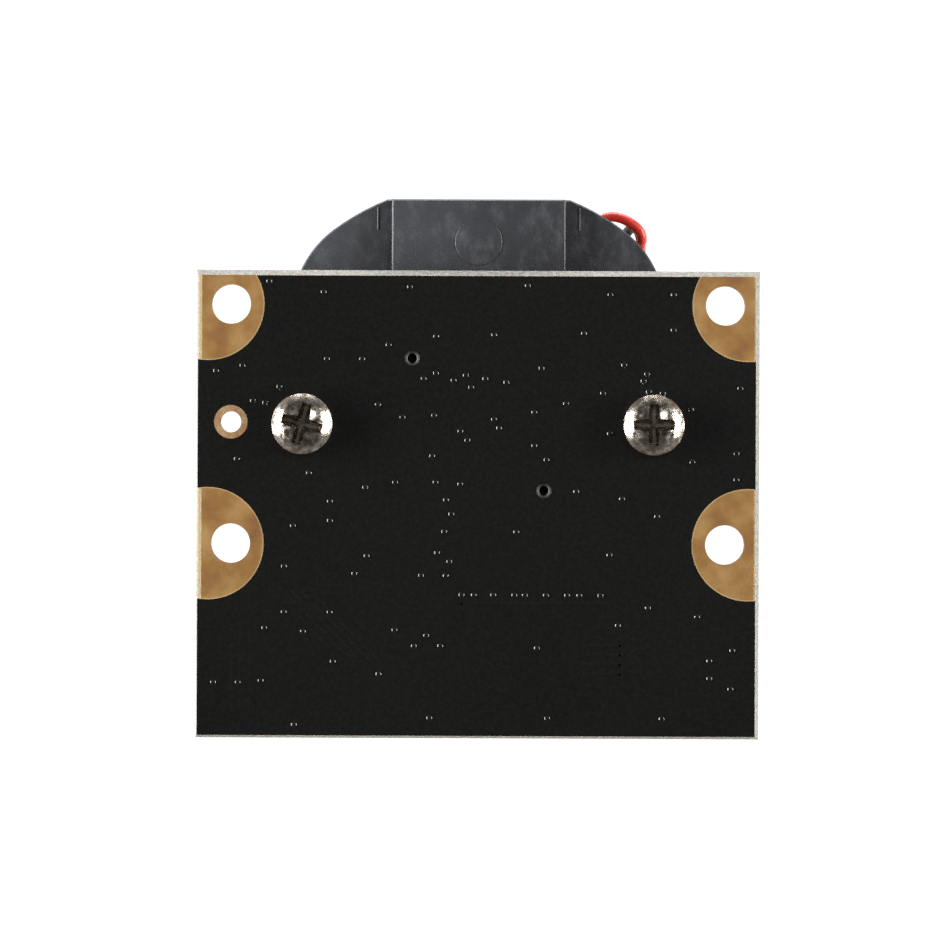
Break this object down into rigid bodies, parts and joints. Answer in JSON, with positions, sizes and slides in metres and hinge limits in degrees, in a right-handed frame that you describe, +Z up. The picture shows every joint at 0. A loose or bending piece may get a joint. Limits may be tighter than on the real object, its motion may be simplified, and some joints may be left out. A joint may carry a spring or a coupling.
{
  "type": "board camera with switched infrared filter",
  "caption": "Square board camera with a screw-in lens, a housing whose filter blade slides aside for night use, gold fixing lands and a ribbon connector.",
  "frame": {"origin": "centre of the four fixing holes at the board's rear face, which is also a point of the lens axis", "axes": "+Y along the lens axis, the way the camera looks; +Z up, towards the filter drive; +X right, seen from behind"},
  "size_m": [0.032, 0.0225, 0.0308],
  "materials": {
    "board_laminate": "black solder mask over glass-fibre laminate",
    "gold_plating": "gold flash over nickel and copper",
    "nickel_steel": "nickel-plated steel",
    "housing_plastic": "moulded black nylon",
    "blade_plastic": "matt black polyester sheet",
    "infrared_glass": "coated filter glass",
    "clear_glass": "polished glass",
    "magnet": "nickel-plated sintered magnet",
    "arm_plastic": "natural acetal",
    "soft_iron": "stamped iron",
    "bobbin_plastic": "moulded nylon",
    "copper_wire": "enamelled copper",
    "tinned_metal": "tinned",
    "anodised": "black anodised",
    "coated_glass": "coated lens glass",
    "silicon": "polished silicon",
    "chip_package": "moulded epoxy",
    "white_plastic": "moulded nylon",
    "connector_plastic": "moulded heat-proof nylon",
    "latch_plastic": "moulded heat-proof nylon",
    "red_insulation": "soft PVC",
    "black_insulation": "soft PVC",
    "capacitor_ceramic": "fired ceramic",
    "resistor_coat": "glass coat over film",
    "clock_ceramic": "ceramic package"
  },
  "bodies": {
    "camera_board": {"circuit_board": "board_laminate", "mounting_lands": "gold_plating", "control_hole_plating": "gold_plating", "holder_screws": "nickel_steel", "filter_housing": "housing_plastic", "housing_cover": "housing_plastic", "rotor_shaft": "nickel_steel", "stator_yoke": "soft_iron", "coil_bobbin": "bobbin_plastic", "coil_winding": "copper_wire", "coil_terminals": "tinned_metal", "image_sensor": "chip_package", "sensor_die": "silicon", "sensor_glass": "clear_glass", "lead_header": "white_plastic", "header_pins": "tinned_metal", "lead_plug": "white_plastic", "plug_contacts": "tinned_metal", "red_lead": "red_insulation", "black_lead": "black_insulation", "connector_body": "connector_plastic", "connector_contacts": "tinned_metal", "connector_anchors": "tinned_metal", "chip_capacitors": "capacitor_ceramic", "chip_resistors": "resistor_coat", "chip_ends": "tinned_metal", "voltage_regulator": "chip_package", "filter_driver_chip": "chip_package", "package_legs": "tinned_metal", "clock_base": "clock_ceramic", "clock_lid": "nickel_steel"},
    "filter": {"filter_blade": "blade_plastic", "infrared_filter": "infrared_glass", "clear_window": "clear_glass"},
    "rotor": {"rotor_magnet": "magnet", "drive_arm": "arm_plastic"},
    "lens_glass": {"front_element": "coated_glass", "middle_element": "coated_glass", "lens_stop": "anodised", "rear_element": "coated_glass"},
    "focus_barrel": {"lens_barrel": "anodised", "retaining_ring": "anodised"},
    "ribbon_latch": {"connector_latch": "latch_plastic"}
  },
  "joints": [
    {"name": "arm_swing", "type": "hinge", "parent": "camera_board", "child": "rotor", "pos_m": [0, 0.0055, 0.00996], "axis": [0, -1, 0], "range_deg": [0, 70]},
    {"name": "filter_travel", "type": "slide", "parent": "camera_board", "child": "filter", "axis": [1, 0, 0], "range_m": [0, 0.0062]},
    {"name": "focus_advance", "type": "slide", "parent": "camera_board", "child": "lens_glass", "axis": [0, 1, 0], "range_m": [-0.0005, 0.0005]},
    {"name": "focus_turn", "type": "hinge", "parent": "lens_glass", "child": "focus_barrel", "pos_m": [0, 0.012, 0], "axis": [0, 1, 0], "range_deg": [-360, 360]},
    {"name": "latch_slide", "type": "slide", "parent": "camera_board", "child": "ribbon_latch", "axis": [0, 0, -1], "range_m": [0, 0.001]}
  ],
  "couplings": [
    {"joint": "arm_swing", "follows": "filter_travel", "rad_per_m": 197.05},
    {"joint": "focus_turn", "follows": "focus_advance", "rad_per_m": 12566}
  ]
}
